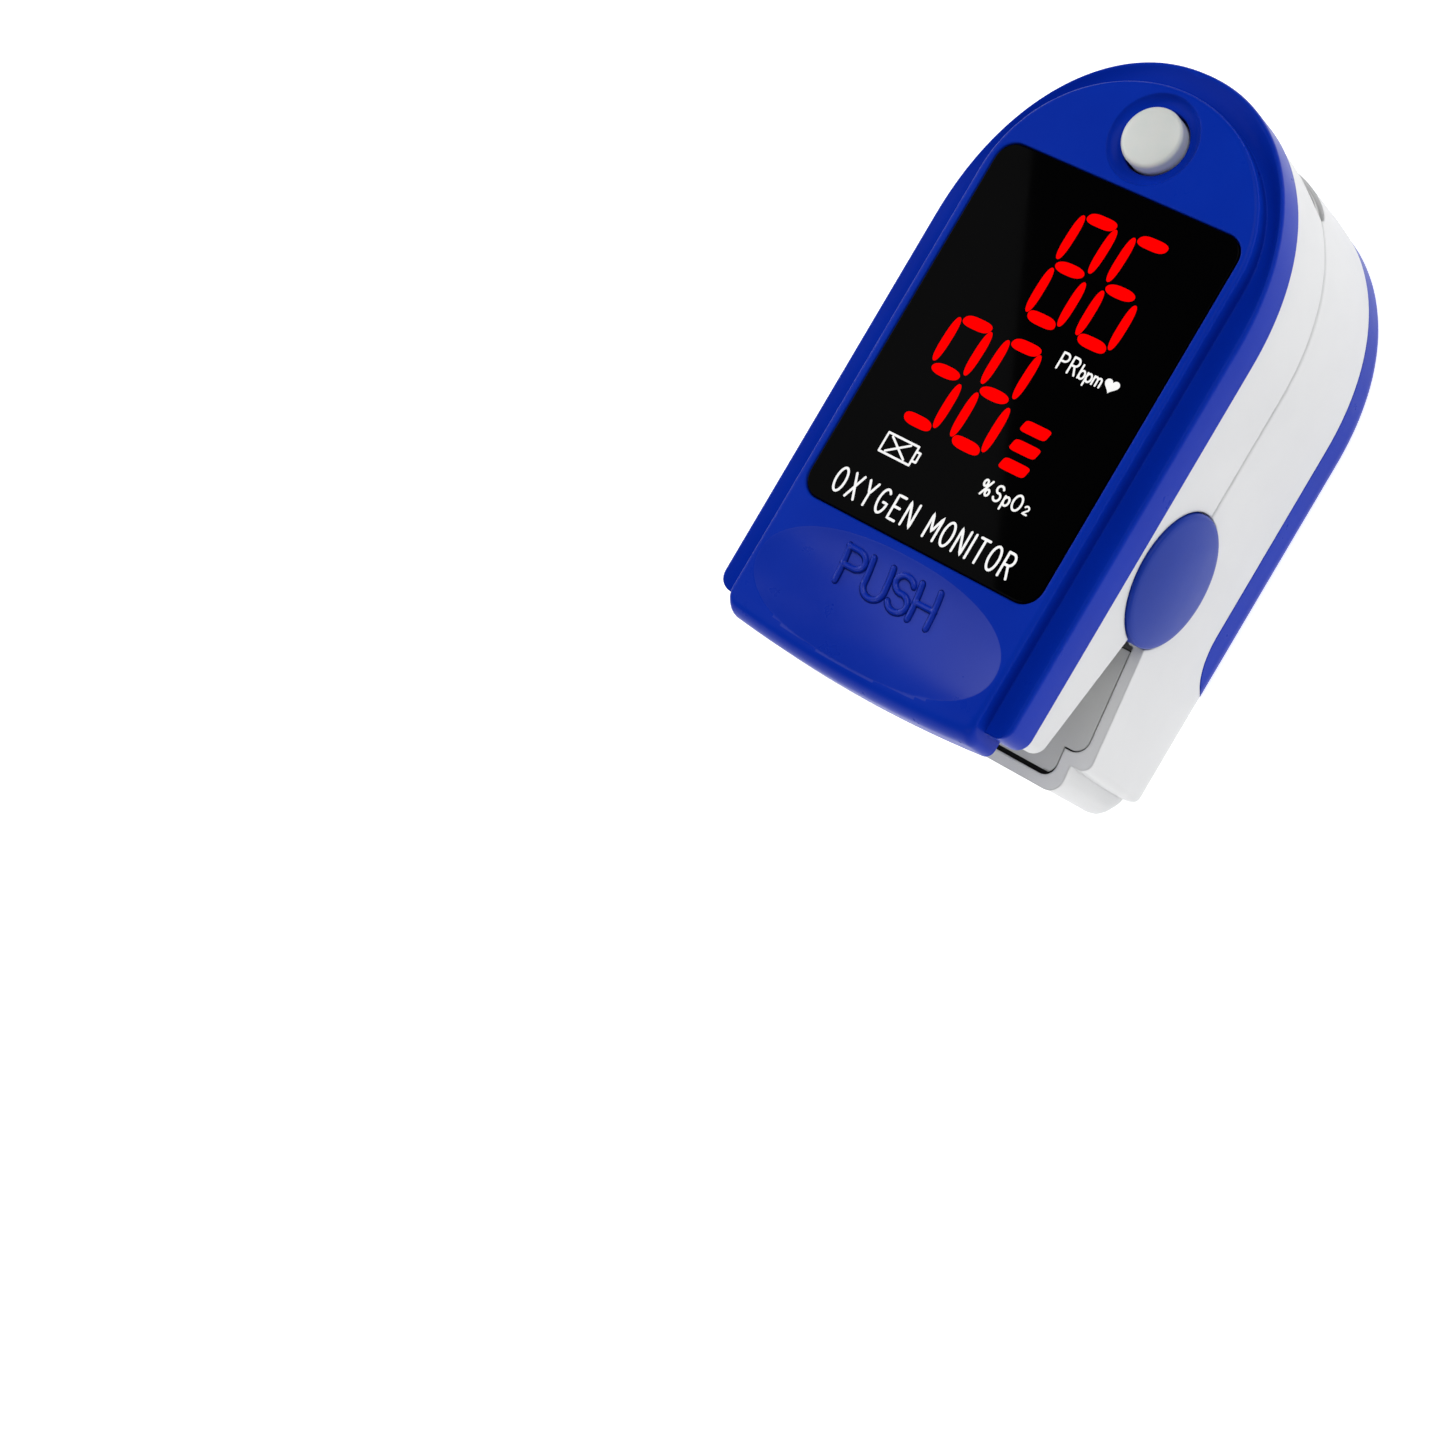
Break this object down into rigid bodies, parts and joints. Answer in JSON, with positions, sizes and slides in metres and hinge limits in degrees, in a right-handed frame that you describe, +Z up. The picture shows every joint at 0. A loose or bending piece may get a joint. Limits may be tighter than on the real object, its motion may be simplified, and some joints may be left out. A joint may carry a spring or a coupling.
{
  "type": "fingertip pulse oximeter",
  "caption": "Clip-on finger sensor: two sprung jaws on a cross axle, a display head with a push button above, and a battery bay with a sliding cover below.",
  "frame": {"origin": "under the middle of the closed body's bounding box, on the surface it rests on", "axes": "+X across the width, +Y towards the finger opening, +Z up through the display"},
  "size_m": [0.0332, 0.0591, 0.0309],
  "materials": {
    "blue_plastic": "satin moulded ABS",
    "white_plastic": "fine-textured moulded ABS",
    "button_white": "smooth moulded ABS",
    "grey_plastic": "fine matt moulded ABS",
    "silicone": "matt soft silicone",
    "smoked_window": "glossy smoked acrylic with printed legends",
    "display_black": "matt black display housing with red segments",
    "board_green": "solder mask",
    "chip_black": "moulded epoxy",
    "clear_lens": "clear acrylic",
    "steel": "drawn steel",
    "nickel": "nickel plate",
    "cell_wrap": "printed sleeve, plain",
    "flex_amber": "polyimide film"
  },
  "bodies": {
    "lower_jaw": {"lower_shell": "white_plastic", "lower_liner": "grey_plastic", "lower_finger_pad": "silicone", "lower_sensor_lens": "clear_lens", "emitter_led": "clear_lens", "emitter_board": "board_green", "lower_screw_1": "steel", "lower_screw_2": "steel", "lower_screw_3": "steel", "lower_screw_4": "steel", "battery_left": "cell_wrap", "battery_right": "cell_wrap", "battery_link_plate": "nickel", "battery_terminal_left": "nickel", "battery_terminal_right": "nickel", "contact_spring_left": "nickel", "contact_spring_right": "nickel", "hinge_axle": "steel", "torsion_spring_left": "steel", "torsion_spring_right": "steel", "pivot_cap_left": "blue_plastic", "pivot_cap_right": "blue_plastic", "ribbon_cable": "flex_amber"},
    "upper_jaw": {"top_cover": "blue_plastic", "display_window": "smoked_window", "digit_module": "display_black", "main_board": "board_green", "controller_chip": "chip_black", "amplifier_chip": "chip_black", "power_switch": "nickel", "upper_shell": "white_plastic", "upper_liner": "grey_plastic", "upper_finger_pad": "silicone", "upper_sensor_lens": "clear_lens", "photodiode": "chip_black", "upper_screw_1": "steel", "upper_screw_2": "steel", "upper_screw_3": "steel", "upper_screw_4": "steel"},
    "power_button": {"power_button": "button_white", "switch_plunger": "chip_black"},
    "battery_cover": {"battery_cover": "blue_plastic"}
  },
  "joints": [
    {"name": "jaw_hinge", "type": "hinge", "parent": "lower_jaw", "child": "upper_jaw", "pos_m": [0, -0.0085, 0.0173], "axis": [1, 0, 0], "range_deg": [0, 22], "stiffness_Nm_per_rad": 0.05, "springref_deg": -40.11, "deforming": ["torsion_spring_left", "torsion_spring_right", "ribbon_cable"]},
    {"name": "power_button_press", "type": "slide", "parent": "upper_jaw", "child": "power_button", "axis": [0, 0, -1], "range_m": [0, 0.00035], "stiffness_N_per_m": 400},
    {"name": "battery_cover_slide", "type": "slide", "parent": "lower_jaw", "child": "battery_cover", "axis": [0, 1, 0], "range_m": [0, 0.045]}
  ]
}
